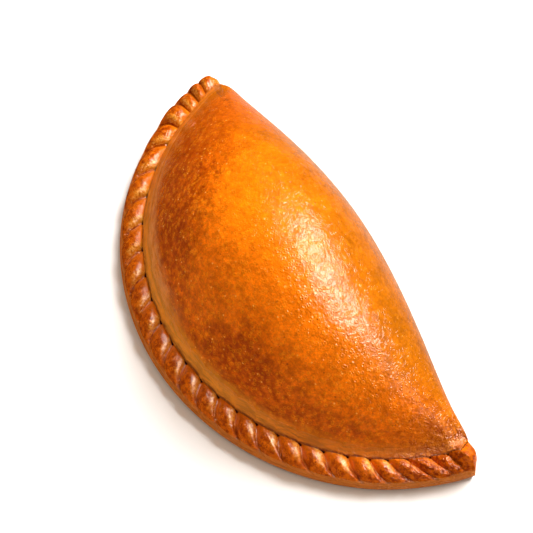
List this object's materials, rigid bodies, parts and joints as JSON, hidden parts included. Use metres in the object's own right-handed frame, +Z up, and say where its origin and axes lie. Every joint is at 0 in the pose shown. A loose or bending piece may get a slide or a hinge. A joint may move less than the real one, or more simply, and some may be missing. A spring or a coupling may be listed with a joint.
{
  "type": "empanada",
  "caption": "Half-moon baked pastry with a plump glazed dome, a rolled fold along its back and a twisted rope crimp along its curved rim, flat underneath.",
  "frame": {"origin": "on the flat underside, below the middle of the bounding box", "axes": "+X along the length from tip to tip, +Y from the crimped rim towards the folded edge, +Z up"},
  "size_m": [0.1485, 0.0697, 0.0423],
  "materials": {
    "crust": "egg-washed golden-brown crust, glossy on the dome and on the crimp's crests, matt and paler on the skirt, in the creases and along the base edge"
  },
  "bodies": {
    "root": {"empanada": "crust"}
  },
  "joints": []
}
